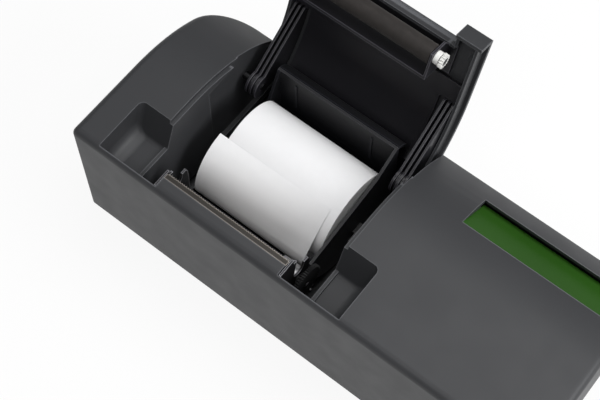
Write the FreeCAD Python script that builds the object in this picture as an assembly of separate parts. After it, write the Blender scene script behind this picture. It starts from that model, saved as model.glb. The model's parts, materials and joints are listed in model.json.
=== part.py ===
"""Receipt printer with a drop-in paper roll and a lift-up lid, modelled in millimetres.

The pieces are laid out about the tear line: X = 0 at the middle of the paper, Y = 0 at the tear edge with
+Y to the rear, Z = 0 at the flat deck. At the end everything moves to the part's own frame, whose origin
is on the table at the middle of the footprint with the lid open.
"""
import FreeCAD, Part
import math
import os

from FreeCAD import Vector as V

# Paper
PAPER_WIDTH = 80.0
ROLL_DIA = 60.0
CORE_DIA = 17.0
CORE_BORE = 12.5
ROLL_Y = 62.0
ROLL_GAP = 0.7
TAIL_THICK = 0.25
TAIL_SHIFT = 5.5
TAIL_START = 118.0
TAIL_LEAVES = 150.0
TAIL_RETURNS = 232.0
TAIL_GAP = 0.4
TAIL_BULGE = 9.8

# Casing
LEFT_REACH = 103.0
RIGHT_REACH = 205.0
FRONT_REACH = 12.6
REAR_REACH = 119.0
DECK_HEIGHT = 94.0
DECK_FLAT = 43.0
DECK_ARC = 103.0
REAR_CORNER = 28.0
FRONT_CORNER = 3.0
LEAST_ROUND = 0.4
EDGE_ROUND = 5.0
WALL = 2.5
FOOT_HEIGHT = 2.5
FOOT_DIA = 14.0
FOOT_INSET = 20.0
BASE_THICK = 2.5
BASE_GAP = 0.2
BOSS_DIA = 7.0
BOSS_HEIGHT = 30.0
BOSS_SINK = 0.5
BOSS_BESIDE_WELL = 25.0
SCREW_DIA = 3.0
SCREW_HEAD_DIA = 5.6
SCREW_HEAD = 1.8
SCREW_LENGTH = 9.0
SCREW_HOLE_GAP = 0.4
SCREW_END_ROOM = 2.0
VENT_COUNT = 9
VENT_WIDTH = 2.4
VENT_PITCH = 7.2
VENT_LENGTH = 30.0

# Well that the lid closes
WELL_ROOM = 20.0
WELL_WALL = 5.5
WELL_FRONT = 10.0
WELL_DEPTH = 80.0
RABBET_WIDTH = 2.3
RABBET_DEPTH = 2.5
REAR_NOTCH = 45.0
TONGUE_LAP = 2.3
TONGUE_EDGE = 3.4
ARM_POCKET_DEEP = 3.0
ARM_POCKET_START = 56.0
ARM_POCKET_TOP = 9.0
ARM_POCKET_SILL = 6.0

# Finger recesses beside the lid
RECESS_WIDTH = 21.0
RECESS_DEPTH = 22.0
RECESS_LIP = 2.0
RECESS_BACK = 26.2
RECESS_SLOPE = 8.6
RECESS_ROUND = 9.0
RECESS_CORNER = 3.5

# Customer line display
DISPLAY_X = 100.8
DISPLAY_LENGTH = 94.0
DISPLAY_FRONT = 78.5
DISPLAY_DEEP = 18.0
DISPLAY_SINK = 8.0
LENS_THICK = 2.0
LENS_MARGIN = 3.0
TRAY_WALL = 2.2
MODULE_THICK = 9.0

# Lid and its hinge
LID_OPEN = 106.0
HINGE_Y = 91.0
HINGE_Z = -36.3
LID_GAP = 0.5
LID_SKIN = 2.2
LID_REAR = 95.5
LID_FRONT = 6.5
LID_NOSE = 2.8
LID_NOTCH_ROOM = 5.0
SKIRT_INSET = 2.4
SKIRT_THICK = 1.8
SKIRT_DEPTH = 10.0
BLOCK_DEPTH = 12.0
NOSE_DEPTH = 5.0
LID_EDGE_ROUND = 1.0
LINER_DEPTH = 4.2
LINER_THICK = 1.5
LINER_LAP = 6.0
LINER_FRONT = 31.0
LINER_REAR = 86.0
LINER_GAP = 0.5
PIN_DIA = 5.0
PIN_RUN = 0.05
ARM_RIBS = 3
ARM_RIB = 1.6
ARM_PITCH = 3.1
ARM_CLEAR = 0.9
ARM_TIP = 46.0
ARM_TIP_DEPTH = 5.0
HUB_RADIUS = 8.0
BARREL_RADIUS = 6.0

# Platen roller, carried by the lid; its place is given with the lid shut
PLATEN_Y = 6.0
PLATEN_Z = -21.5
PLATEN_DIA = 12.0
PLATEN_SHAFT_DIA = 5.0
TAB_GAP = 0.4
TAB_THICK = 1.4
TAB_FRONT = 1.2
HOLDER_WALL_Y = 18.5
HOLDER_WALL = 2.0
HOLDER_DEPTH = 27.0
HOLDER_PLATE = 2.0
BUSH_DIA = 8.0
BUSH_LENGTH = 3.0
BUSH_SEAT_GAP = 0.25

# Print mechanism
SHEET = 1.4
PLATE_GAP = 1.0
MECH_FRONT = 9.7
MECH_REAR = 15.5
MECH_FLOOR = -58.0
PLATE_TOP = 1.0
PLATE_STEP = 5.8
PLATE_PRONG = 19.0
BRIDGE_TOP = 2.9
BRIDGE_DEPTH = 6.0
BLADE_THICK = 1.0
BLADE_TOP = 0.9
BLADE_EDGE = 0.6
TOOTH_PITCH = 1.5
TOOTH_DEPTH = 0.8
HEAD_GAP = 0.5
HEAD_SIDE_GAP = 1.2
SUBSTRATE_THICK = 1.0
SUBSTRATE_HEIGHT = 16.0
HEAT_SINK = 3.2
HEAT_SINK_TOP = 11.0
HEAD_PIVOT_DROP = 17.0
HEAD_PIVOT_DIA = 3.0
SPRING_LEAF = 0.4
SPRING_HALF = 7.0
SPRING_WIDTH = 8.0
SPRING_SPREAD = 20.0
SPRING_Z = -18.5

# Paper drive: platen gear, two-step reduction gear, motor pinion
MODULE = 0.5
PLATEN_TEETH = 16
SMALL_TEETH = 16
LARGE_TEETH = 48
PINION_TEETH = 12
GEAR_FACE = 2.4
GEAR_GAP = 0.5
MESH_GAP = 0.18
AXLE_DIA = 3.0
MOTOR_DIA = 15.0
MOTOR_LENGTH = 15.0
MOTOR_SHAFT_DIA = 2.0
MOTOR_ANGLE = -75.0

# Paper bucket
BUCKET_ROOM_LEFT = 6.5
BUCKET_ROOM_RIGHT = 1.5
BUCKET_WALL = 1.8
BUCKET_LIFT = 2.5
BUCKET_RADIUS = 36.0
BUCKET_FRONT_RADIUS = 47.0
BUCKET_FRONT_END = 205.0
GUARD_RADIUS = 19.6
GUARD_FROM = 61.0
GUARD_TO = -25.0
BUCKET_RIB = 1.4
BUCKET_RIB_X = (-30.0, 25.0)

# Electronics
BOARD_THICK = 1.6
BOARD_LENGTH = 114.0
BOARD_DEEP = 84.0
BOARD_STANDOFF = 5.0
BOARD_X = 78.0
BOARD_Y = 8.0
SOCKET_Z = -76.0
POWER_X = 150.0
DATA_X = 118.0

# Small fits and details
STANDOFF_DIA = 7.0
VENT_Y = 30.0
FOOT_BEVEL = 0.8
SCREW_FIT = 0.03
PIN_PROUD = 0.5
PIN_BOSS_WALL = 3.5
PIN_BOSS_PROUD = 4.0
PIN_SEAT = 2.0
SHELF = 2.0
LIP_DIA = 3.0
CHEEK_RISE = 80.0
TALL_CHEEK_FRONT = -39.0
TALL_CHEEK_REAR = -30.4
LEG_X = 36.0
LEG_THICK = 2.0
LEG_REACH = 24.0
LEG_FRONT = 2.0
SHELF_LAP = 6.0
RIB_PROUD = 0.8
RIB_DROP = 5.0
SMALL_SCREW = 2.2
SMALL_SCREW_HEAD = 4.2
SMALL_SCREW_CAP = 1.3
SMALL_SCREW_X = 6.0
SMALL_SCREW_Y = 5.0
PRONG_REAR = 14.5
PRONG_FRONT = 9.0
THROAT_FLARE = 4.0
PLATE_HIGH = 2.0
BLADE_REACH = 3.7
BAR_END_GAP = 0.3
MOTOR_PILOT_DIA = 6.0
MOTOR_END = 3.0
FLANGE = 1.0
FLANGE_REACH = 6.0
FLANGE_HALF = 9.4
SINK_GROOVE = 1.2
SINK_GROOVES = 6
KNUCKLE_GAP = 8.0
GLAZE_PROUD = 0.15
SHAFT_PROUD = 0.6
SPRING_END_GAP = 0.1
GEAR_ROOT = 1.25
GEAR_TIP = 0.9
ROOT_SHARE = 0.66
PITCH_SHARE = 0.43
TIP_SHARE = 0.17
HUB_WALL = 1.2
SKIRT_REAR = 86.0
RETURN_DEPTH = 9.0
HOLDER_BITE = 1.2
LINER_RIB_X = 30.0
HOLDER_SCREW_X = 34.0
HOLDER_SCREW_Y = 25.0
HOLDER_FRONT = 6.2
HOLDER_REAR = 29.5
TAB_SHOULDER = 8.0
BOARD_HOLE = 5.0
CHIP = 7.0
CHIP_HIGH = 1.6
HEADER = 5.0
HEADERS = 4
CAN_DIA = 8.0
CAN_HIGH = 11.0
SOCKET_HALF = 6.5
SOCKET_DEEP = 13.0
POWER_HOLE = 9.0
POWER_BORE = 6.4
POWER_PIN = 2.0
DATA_HALF = 6.0
DATA_GAP = 0.2
DATA_WALL = 1.2
SOCKET_FLOOR = 2.0
TONGUE_THICK = 2.0
SENSOR = 4.0
SENSOR_DROP = 12.0
SWITCH_Y = 34.0
SWITCH_LONG = 8.0
SWITCH_THICK = 4.0
SWITCH_HIGH = 6.0
SWITCH_Z = -16.0
KEY_LONG = 3.0
KEY_THICK = 1.6
KEY_PROUD = 1.2

# Hair of overlap between fused shapes, overshoot of a cut, and a reach past everything
EPS = 0.01
OVER = 5.0
FAR = 400.0

# Worked-out places
CASE_BOTTOM = FOOT_HEIGHT - DECK_HEIGHT
BASE_TOP = CASE_BOTTOM + BASE_THICK
BOARD_Z = BASE_TOP + BOARD_STANDOFF
ROLL_Z = BASE_TOP + BUCKET_LIFT + BUCKET_WALL + ROLL_GAP + ROLL_DIA / 2
BUCKET_Z = ROLL_Z - ROLL_DIA / 2 - ROLL_GAP + BUCKET_RADIUS
PAPER_HALF = PAPER_WIDTH / 2
WELL_HALF = PAPER_HALF + WELL_ROOM
TONGUE_HALF = PAPER_HALF + TONGUE_LAP
LID_NOTCH_HALF = PAPER_HALF + LID_NOTCH_ROOM
LINER_HALF = PAPER_HALF + LINER_LAP
BUCKET_LEFT = PAPER_HALF + BUCKET_ROOM_LEFT
BUCKET_RIGHT = PAPER_HALF + BUCKET_ROOM_RIGHT
ARM_INNER = BUCKET_LEFT + BUCKET_WALL + ARM_CLEAR
RIM_HALF = WELL_HALF + RABBET_WIDTH
LID_HALF = RIM_HALF - LID_GAP
SKIRT_OUT = LID_HALF - SKIRT_INSET
SKIRT_IN = SKIRT_OUT - SKIRT_THICK
PLATEN_HALF = PAPER_HALF
TAB_IN = PLATEN_HALF + TAB_GAP
TAB_OUT = TAB_IN + TAB_THICK
BUSH_IN = TAB_OUT
PLATE_IN = BUSH_IN + PLATE_GAP
PLATE_OUT = PLATE_IN + SHEET
BUSH_OUT = BUSH_IN + BUSH_LENGTH
GEAR_IN = BUSH_OUT + GEAR_GAP
GEAR_OUT = GEAR_IN + GEAR_FACE
LARGE_IN = GEAR_OUT + GEAR_GAP
LARGE_OUT = LARGE_IN + GEAR_FACE
HEAD_FACE = PLATEN_Y - PLATEN_DIA / 2 - HEAD_GAP
HEAD_BACK = HEAD_FACE - SUBSTRATE_THICK - HEAT_SINK
HEAD_HALF = PLATE_IN - HEAD_SIDE_GAP
HEAD_PIVOT_Y = HEAD_FACE - SUBSTRATE_THICK - HEAT_SINK / 2
HEAD_PIVOT_Z = PLATEN_Z - HEAD_PIVOT_DROP


def lift_direction():
    """Unit vector in the YZ plane along which the shut lid starts to lift the platen."""
    y = PLATEN_Y - HINGE_Y
    z = PLATEN_Z - HINGE_Z
    reach = math.hypot(y, z)
    return z / reach, -y / reach


def open_reach():
    """How far to the rear the open lid's front edge stands."""
    turn = math.radians(LID_OPEN)
    return HINGE_Y + (LID_FRONT + HINGE_Y) * -math.cos(turn) - HINGE_Z * math.sin(turn)


ORIGIN_MOVE = V((LEFT_REACH - RIGHT_REACH) / 2, (FRONT_REACH - open_reach()) / 2, DECK_HEIGHT)
LIFT_Y, LIFT_Z = lift_direction()
DRIVE_REACH = MODULE * (PLATEN_TEETH + SMALL_TEETH) / 2 + MESH_GAP
AXLE_Y = PLATEN_Y - LIFT_Y * DRIVE_REACH
AXLE_Z = PLATEN_Z - LIFT_Z * DRIVE_REACH
MOTOR_REACH = MODULE * (LARGE_TEETH + PINION_TEETH) / 2 + MESH_GAP
MOTOR_Y = AXLE_Y + MOTOR_REACH * math.cos(math.radians(MOTOR_ANGLE))
MOTOR_Z = AXLE_Z + MOTOR_REACH * math.sin(math.radians(MOTOR_ANGLE))


def block(x0, x1, y0, y1, z0, z1):
    return Part.makeBox(x1 - x0, y1 - y0, z1 - z0, V(x0, y0, z0))


def rod(x0, x1, y, z, dia):
    return Part.makeCylinder(dia / 2, x1 - x0, V(x0, y, z), V(1, 0, 0))


def post(x, y, z0, z1, dia):
    return Part.makeCylinder(dia / 2, z1 - z0, V(x, y, z0), V(0, 0, 1))


def side_face(points):
    """Flat face in the YZ plane through the given (y, z) corners."""
    corners = [V(0, y, z) for y, z in points]
    return Part.Face(Part.makePolygon(corners + corners[:1]))


def along_x(face, x0, x1):
    moved = face.copy()
    moved.translate(V(x0, 0, 0))
    return moved.extrude(V(x1 - x0, 0, 0))


def span(side, inner, outer):
    """X limits of something that reaches from inner to outer on one side."""
    return (inner, outer) if side > 0 else (-outer, -inner)


def fuse(first, *rest):
    return first.fuse(list(rest)).removeSplitter()


def deck_height_at(y, depth=0.0):
    """Height of the deck's top, or of a surface the given depth under it."""
    if y <= DECK_FLAT:
        return -depth
    radius = DECK_ARC - depth
    return math.sqrt(radius ** 2 - (y - DECK_FLAT) ** 2) - DECK_ARC


def under_deck(depth, y0, y1, bottom):
    """YZ face from bottom up to a line that runs the given depth under the deck."""
    start = V(0, y0, -depth)
    bend = V(0, DECK_FLAT, -depth)
    middle_y = (DECK_FLAT + y1) / 2
    middle = V(0, middle_y, deck_height_at(middle_y, depth))
    end = V(0, y1, deck_height_at(y1, depth))
    low_end = V(0, y1, bottom)
    low_start = V(0, y0, bottom)
    edges = [
        Part.LineSegment(start, bend).toShape(),
        Part.Arc(bend, middle, end).toShape(),
        Part.LineSegment(end, low_end).toShape(),
        Part.LineSegment(low_end, low_start).toShape(),
        Part.LineSegment(low_start, start).toShape(),
    ]
    return Part.Face(Part.Wire(edges))


def deck_band(x0, x1, y0, y1, top, depth):
    """Strip of the deck between two depths, such as a skin or a skirt."""
    above = along_x(under_deck(top, y0, y1, -FAR), x0, x1)
    below = along_x(under_deck(depth, y0 - OVER, y1 + OVER, -FAR - OVER), x0 - OVER, x1 + OVER)
    return above.cut(below)


def plan_prism(inset, z0, z1):
    """Casing footprint, drawn in by inset, as an upright prism."""
    solid = block(
        inset - LEFT_REACH, RIGHT_REACH - inset, inset - FRONT_REACH, REAR_REACH - inset, z0, z1
    )
    upright = [e for e in solid.Edges if abs(e.Vertexes[0].Z - e.Vertexes[1].Z) > 1]
    rear = [e for e in upright if e.CenterOfMass.y > 0]
    solid = solid.makeFillet(REAR_CORNER - inset, rear)
    front = [
        e for e in solid.Edges
        if abs(e.CenterOfMass.y + FRONT_REACH - inset) < EPS and abs(e.tangentAt(e.FirstParameter).z) > 0.9
    ]
    return solid.makeFillet(max(FRONT_CORNER - inset, LEAST_ROUND), front)


def casing_block(inset, bottom):
    """Casing volume drawn in by inset: the deck's side view cut to the footprint."""
    side = under_deck(inset, -FRONT_REACH - OVER, REAR_REACH + OVER, bottom)
    return along_x(side, -FAR, FAR).common(plan_prism(inset, bottom - OVER, OVER))


def boss_places():
    """Screw bosses close to the casing's walls, clear of the corners' curves."""
    inset = WALL + BOSS_DIA / 2 - BOSS_SINK
    xs = (inset - LEFT_REACH, WELL_HALF + WELL_WALL + BOSS_BESIDE_WELL, RIGHT_REACH - inset)
    front = inset - FRONT_REACH
    rear = REAR_REACH - REAR_CORNER
    sides = [(x, y) for x in (xs[0], xs[2]) for y in (front, rear)]
    return sides + [(xs[1], front), (xs[1], REAR_REACH - inset)]


def recess_cut(side, floor, x_in, x_out):
    """Room of one finger recess: flat floor, rear wall that leans back towards the deck."""
    reach = RECESS_SLOPE / RECESS_DEPTH
    profile = side_face([
        (-WELL_FRONT, OVER),
        (RECESS_BACK + OVER * reach, OVER),
        (RECESS_BACK - floor * reach, -floor),
        (-WELL_FRONT, -floor),
    ])
    return along_x(profile, *span(side, x_in, x_out))


def recess_room(side, grow):
    """Recess with its outer lower edge and rear corner rounded; grow makes the tray that encloses it."""
    x_out = RIM_HALF + RECESS_WIDTH + grow
    room = recess_cut(side, RECESS_DEPTH, WELL_HALF - OVER, x_out - grow)
    if grow:
        room = along_x(
            side_face([
                (-WELL_FRONT - grow, 0),
                (RECESS_BACK + grow, 0),
                (RECESS_BACK - RECESS_SLOPE + grow, -RECESS_DEPTH - grow),
                (-WELL_FRONT - grow, -RECESS_DEPTH - grow),
            ]),
            *span(side, WELL_HALF, x_out),
        )
    low = -RECESS_DEPTH - grow
    edge = [
        e for e in room.Edges
        if abs(e.CenterOfMass.z - low) < EPS and abs(abs(e.CenterOfMass.x) - x_out) < EPS
    ]
    room = room.makeFillet(RECESS_ROUND + grow, edge)
    if grow:
        return room
    return room.makeFillet(RECESS_CORNER, [e for e in room.Edges if on_recess_rear(e)])


def on_recess_rear(edge):
    """True for the edges where a recess's leaning rear wall meets its floor and its outer wall."""
    lean = RECESS_SLOPE / RECESS_DEPTH
    for vertex in edge.Vertexes:
        p = vertex.Point
        if abs(p.y - RECESS_BACK - p.z * lean) > EPS:
            return False
    middle = edge.CenterOfMass
    return middle.z < OVER - EPS and abs(middle.x) > WELL_HALF


def lens_corners(drop):
    """Front and rear edge of the display lens, (y, z), lowered square to its face by drop."""
    rear_y = DISPLAY_FRONT + DISPLAY_DEEP
    front = (DISPLAY_FRONT, deck_height_at(DISPLAY_FRONT))
    rear = (rear_y, deck_height_at(rear_y) - DISPLAY_SINK)
    reach = math.hypot(rear[0] - front[0], rear[1] - front[1])
    across = ((rear[1] - front[1]) / reach, -(rear[0] - front[0]) / reach)
    return [(y + across[0] * drop, z + across[1] * drop) for y, z in (front, rear)]


def lens_slab(drop, thick, margin, x0, x1):
    """Slab parallel to the display lens, its ends drawn in by margin."""
    front, rear = lens_corners(drop)
    low_front, low_rear = lens_corners(drop + thick)
    reach = math.hypot(rear[0] - front[0], rear[1] - front[1])
    way = ((rear[0] - front[0]) / reach * margin, (rear[1] - front[1]) / reach * margin)
    corners = [
        (front[0] + way[0], front[1] + way[1]),
        (rear[0] - way[0], rear[1] - way[1]),
        (low_rear[0] - way[0], low_rear[1] - way[1]),
        (low_front[0] + way[0], low_front[1] + way[1]),
    ]
    return along_x(side_face(corners), x0 + margin, x1 - margin)


def display_sight(x0, x1):
    """Open room above the lens."""
    front, rear = lens_corners(0)
    return along_x(side_face([(front[0], OVER), (rear[0], OVER), rear, front]), x0, x1)


def top_housing():
    outer = casing_block(0, CASE_BOTTOM)
    crest = [
        e for e in outer.Edges
        if e.CenterOfMass.z > deck_height_at(REAR_REACH) - EPS
        and not (abs(e.CenterOfMass.y + FRONT_REACH) < EPS)
        and on_casing_side(e)
    ]
    outer = outer.makeFillet(EDGE_ROUND, crest)
    shell = outer.cut(casing_block(WALL, CASE_BOTTOM - OVER))
    walls = []
    for side in (-1, 1):
        x0, x1 = span(side, WELL_HALF, WELL_HALF + WELL_WALL)
        walls.append(block(x0, x1, WALL / 2 - FRONT_REACH, REAR_REACH - WALL / 2, -WELL_DEPTH, 0))
        walls.append(recess_room(side, WALL))
        x0, x1 = span(side, WELL_HALF + ARM_POCKET_DEEP, WELL_HALF + WELL_WALL + PIN_BOSS_PROUD)
        walls.append(rod(x0, x1, HINGE_Y, HINGE_Z, PIN_DIA + 2 * PIN_BOSS_WALL))
    x0, x1 = DISPLAY_X, DISPLAY_X + DISPLAY_LENGTH
    front, rear = lens_corners(LENS_THICK + TRAY_WALL)
    fall = (rear[1] - front[1]) / (rear[0] - front[0])
    tray_ends = (DISPLAY_FRONT - TRAY_WALL, DISPLAY_FRONT + DISPLAY_DEEP + TRAY_WALL)
    tray_low = [(y, front[1] + fall * (y - front[0])) for y in tray_ends]
    tray = side_face([(tray_ends[0], 0), (tray_ends[1], 0), tray_low[1], tray_low[0]])
    walls.append(along_x(tray, x0 - TRAY_WALL, x1 + TRAY_WALL))
    for x, y in boss_places():
        walls.append(post(x, y, BASE_TOP, BASE_TOP + BOSS_HEIGHT, BOSS_DIA))
    shell = fuse(shell, *[w.common(outer) for w in walls])

    cuts = [
        block(-WELL_HALF, WELL_HALF, -TONGUE_EDGE, REAR_REACH + OVER, -REAR_NOTCH, OVER),
        block(-RIM_HALF, RIM_HALF, HINGE_Y, REAR_REACH + OVER, -REAR_NOTCH, OVER),
        deck_band(-RIM_HALF, RIM_HALF, -TONGUE_EDGE, REAR_REACH + OVER, -OVER, RABBET_DEPTH),
        display_sight(x0, x1),
        lens_slab(0, LENS_THICK, 0, x0, x1),
        lens_slab(0, LENS_THICK + TRAY_WALL + OVER, LENS_MARGIN, x0, x1),
    ]
    for side in (-1, 1):
        slot_in, slot_out = span(side, TONGUE_HALF, RIM_HALF)
        cuts.append(block(slot_in, slot_out, -WELL_FRONT, 0, -RABBET_DEPTH, OVER))
        slot_in, slot_out = span(side, TONGUE_HALF, WELL_HALF)
        cuts.append(block(slot_in, slot_out, -WELL_FRONT, 0, -REAR_NOTCH, OVER))
        beyond_rim = block(*span(side, RIM_HALF, FAR), -FAR, FAR, -FAR, FAR)
        cuts.append(recess_room(side, 0).common(beyond_rim))
        cuts.append(recess_cut(side, RECESS_DEPTH - RECESS_LIP, WELL_HALF - OVER, RIM_HALF + EPS))
        pocket = span(side, WELL_HALF - OVER, WELL_HALF + ARM_POCKET_DEEP)
        pocket_low = ARM_POCKET_SILL - WELL_DEPTH
        cuts.append(block(*pocket, ARM_POCKET_START, REAR_REACH - WALL, pocket_low, -ARM_POCKET_TOP))
        cuts.append(rod(*span(side, WELL_HALF, WELL_HALF + WELL_WALL + PIN_SEAT), HINGE_Y, HINGE_Z, PIN_DIA))
    for x, y in boss_places():
        cuts.append(post(x, y, BASE_TOP - OVER, BASE_TOP + SCREW_LENGTH + SCREW_END_ROOM, SCREW_DIA))
    cuts.append(rod_y(POWER_X, SOCKET_Z, POWER_HOLE))
    half = DATA_HALF + DATA_GAP
    cuts.append(block(DATA_X - half, DATA_X + half, REAR_REACH - WALL - OVER, REAR_REACH + OVER,
                      SOCKET_Z - half, SOCKET_Z + half))
    return shell.cut(cuts).removeSplitter()


def rod_y(x, z, dia):
    """Round cut through the casing's rear wall."""
    return Part.makeCylinder(dia / 2, WALL + 2 * OVER, V(x, REAR_REACH - WALL - OVER, z), V(0, 1, 0))


def on_casing_side(edge):
    """True for an edge where the deck meets the casing's upright sides and rear."""
    for vertex in edge.Vertexes:
        p = vertex.Point
        if -LEFT_REACH + EPS < p.x < RIGHT_REACH - EPS and p.y < REAR_REACH - REAR_CORNER - EPS:
            return False
    start, end = edge.Vertexes[0].Point, edge.Vertexes[-1].Point
    upright = abs(start.x - end.x) < EPS and abs(start.y - end.y) < EPS
    across_deck = abs(start.x - end.x) > RIGHT_REACH and start.y < REAR_REACH - EPS
    return not upright and not across_deck


def line(a, b):
    return Part.LineSegment(a, b).toShape()


def polar(y, z, radius, degrees):
    turn = math.radians(degrees)
    return V(0, y + radius * math.cos(turn), z + radius * math.sin(turn))


def arc_band(y, z, r_in, r_out, start, end):
    """YZ face between two arcs about one centre; angles run from +Y towards +Z."""
    middle = (start + end) / 2
    outer = [polar(y, z, r_out, a) for a in (start, middle, end)]
    inner = [polar(y, z, r_in, a) for a in (end, middle, start)]
    edges = [
        Part.Arc(*outer).toShape(),
        line(outer[2], inner[0]),
        Part.Arc(*inner).toShape(),
        line(inner[2], outer[0]),
    ]
    return Part.Face(Part.Wire(edges))


def base_plate():
    plate = plan_prism(WALL + BASE_GAP, CASE_BOTTOM, BASE_TOP)
    plate = fuse(plate, *[post(x, y, BASE_TOP, BOARD_Z, STANDOFF_DIA) for x, y in board_holes()])
    hole = SCREW_DIA + SCREW_HOLE_GAP
    cuts = [post(x, y, CASE_BOTTOM - OVER, BASE_TOP + OVER, hole) for x, y in boss_places()]
    cuts += [post(x, y, BASE_TOP, BOARD_Z + OVER, SCREW_DIA) for x, y in board_holes()]
    for k in range(VENT_COUNT):
        x = BOARD_X + BOARD_LENGTH / 2 + (k - (VENT_COUNT - 1) / 2) * VENT_PITCH
        cuts.append(block(x, x + VENT_WIDTH, VENT_Y, VENT_Y + VENT_LENGTH,
                          CASE_BOTTOM - OVER, BASE_TOP + OVER))
    return plate.cut(cuts)


def foot_places():
    xs = (FOOT_INSET - LEFT_REACH, RIGHT_REACH - FOOT_INSET)
    ys = (FOOT_INSET - FRONT_REACH, REAR_REACH - FOOT_INSET)
    return [(x, y) for x in xs for y in ys]


def rubber_feet():
    feet = []
    for x, y in foot_places():
        foot = post(x, y, -DECK_HEIGHT, CASE_BOTTOM, FOOT_DIA)
        rim = [e for e in foot.Edges if e.CenterOfMass.z < CASE_BOTTOM - EPS and e.Length > FOOT_DIA]
        feet.append(foot.makeChamfer(FOOT_BEVEL, rim))
    return Part.makeCompound(feet)


def screw(x, y, z, up, length, dia, head_dia, head):
    """Pan-head screw whose head rests at height z; up is +1 where the shank points up."""
    shank = post(x, y, min(z, z + up * length), max(z, z + up * length), dia - 2 * SCREW_FIT)
    cap = post(x, y, min(z, z - up * head), max(z, z - up * head), head_dia)
    return fuse(cap, shank)


def housing_screws():
    size = (SCREW_LENGTH + BASE_THICK, SCREW_DIA, SCREW_HEAD_DIA, SCREW_HEAD)
    return Part.makeCompound([screw(x, y, CASE_BOTTOM, 1, *size) for x, y in boss_places()])


def hinge_pins():
    reach = (ARM_INNER - PIN_PROUD, WELL_HALF + WELL_WALL + PIN_SEAT)
    return Part.makeCompound([rod(*span(side, *reach), HINGE_Y, HINGE_Z, PIN_DIA) for side in (-1, 1)])


def bucket_front():
    """Centre height of the bucket's wider front curve and its outer front face."""
    floor = BUCKET_Z - BUCKET_RADIUS
    return floor + BUCKET_FRONT_RADIUS, ROLL_Y - BUCKET_FRONT_RADIUS - BUCKET_WALL


def paper_bucket():
    """Moulded trough: tight rear curve, wide front curve, one low and one tall cheek, legs, frame shelf."""
    rear = ROLL_Y + BUCKET_RADIUS
    front_z, front = bucket_front()
    left, right = -BUCKET_LEFT - BUCKET_WALL, BUCKET_RIGHT + BUCKET_WALL
    guard_top = HINGE_Z + GUARD_RADIUS * math.sin(math.radians(GUARD_FROM))
    wide = BUCKET_FRONT_RADIUS
    section = [
        arc_band(ROLL_Y, BUCKET_Z, BUCKET_RADIUS, BUCKET_RADIUS + BUCKET_WALL, 270, 360),
        arc_band(ROLL_Y, front_z, wide, wide + BUCKET_WALL, BUCKET_FRONT_END, 270),
        side_face([(rear, BUCKET_Z), (rear + BUCKET_WALL, BUCKET_Z),
                   (rear + BUCKET_WALL, guard_top), (rear, guard_top)]),
        arc_band(HINGE_Y, HINGE_Z, GUARD_RADIUS - BUCKET_WALL, GUARD_RADIUS, GUARD_TO, GUARD_FROM),
    ]
    pieces = [along_x(face, left, right) for face in section]
    shelf_low = MECH_FLOOR - SHELF
    shelf_rear = front + SHELF_LAP
    pieces.append(block(-PLATE_OUT, PLATE_OUT, -MECH_FRONT, shelf_rear, shelf_low, MECH_FLOOR))
    lip = polar(ROLL_Y, front_z, wide + BUCKET_WALL / 2, BUCKET_FRONT_END)
    pieces.append(rod(left, right, lip.y, lip.z, LIP_DIA))
    rear_room = fuse(
        rod(left, right, ROLL_Y, BUCKET_Z, 2 * BUCKET_RADIUS),
        block(left, right, ROLL_Y, rear, BUCKET_Z, BUCKET_Z + BUCKET_RADIUS),
    )
    front_room = rod(left, right, ROLL_Y, front_z, 2 * wide)
    trough = fuse(
        rear_room.common(block(-FAR, FAR, ROLL_Y, FAR, -FAR, lip.z)),
        front_room.common(block(-FAR, FAR, -FAR, ROLL_Y + EPS, -FAR, lip.z)),
    )
    gusset = side_face([(CHEEK_RISE, lip.z - EPS), (rear + EPS, lip.z - EPS), (rear + EPS, guard_top)])
    tall = side_face([
        (lip.y, lip.z - EPS), (rear + EPS, lip.z - EPS), (rear + EPS, guard_top),
        (CHEEK_RISE, TALL_CHEEK_REAR), (lip.y, TALL_CHEEK_FRONT),
    ])
    for x0, x1, upper in ((left, -BUCKET_LEFT, gusset), (BUCKET_RIGHT, right, tall)):
        cheek = block(x0, x1, -FAR, FAR, -FAR, FAR)
        pieces += [trough.common(cheek), along_x(upper, x0, x1)]
    legs = (
        (ROLL_Y - LEG_REACH, ROLL_Y, rod(-FAR, FAR, ROLL_Y, front_z, 2 * wide + BUCKET_WALL)),
        (ROLL_Y, ROLL_Y + LEG_REACH, rod(-FAR, FAR, ROLL_Y, BUCKET_Z, 2 * BUCKET_RADIUS + BUCKET_WALL)),
    )
    for side in (-1, 1):
        x0, x1 = span(side, LEG_X, LEG_X + LEG_THICK)
        pieces += [block(x0, x1, y0, y1, BASE_TOP, ROLL_Z).cut(hollow) for y0, y1, hollow in legs]
        pieces.append(block(x0, x1, LEG_FRONT - MECH_FRONT, shelf_rear, BASE_TOP, MECH_FLOOR - SHELF / 2))
    for x in BUCKET_RIB_X:
        pieces.append(block(x, x + BUCKET_RIB, rear - RIB_PROUD, rear + EPS,
                            BUCKET_Z, guard_top - RIB_DROP))
    pilots = [post(x, y, shelf_low - OVER, MECH_FLOOR + OVER, SMALL_SCREW) for x, y in frame_holes()]
    return fuse(*pieces).cut(pilots).removeSplitter()


def frame_holes():
    xs = (SMALL_SCREW_X - PLATE_IN, PLATE_IN - SMALL_SCREW_X)
    return [(xs[0], SMALL_SCREW_Y - MECH_FRONT), (xs[1], SMALL_SCREW_Y - MECH_FRONT),
            (xs[0], MECH_REAR - SMALL_SCREW_Y)]


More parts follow.
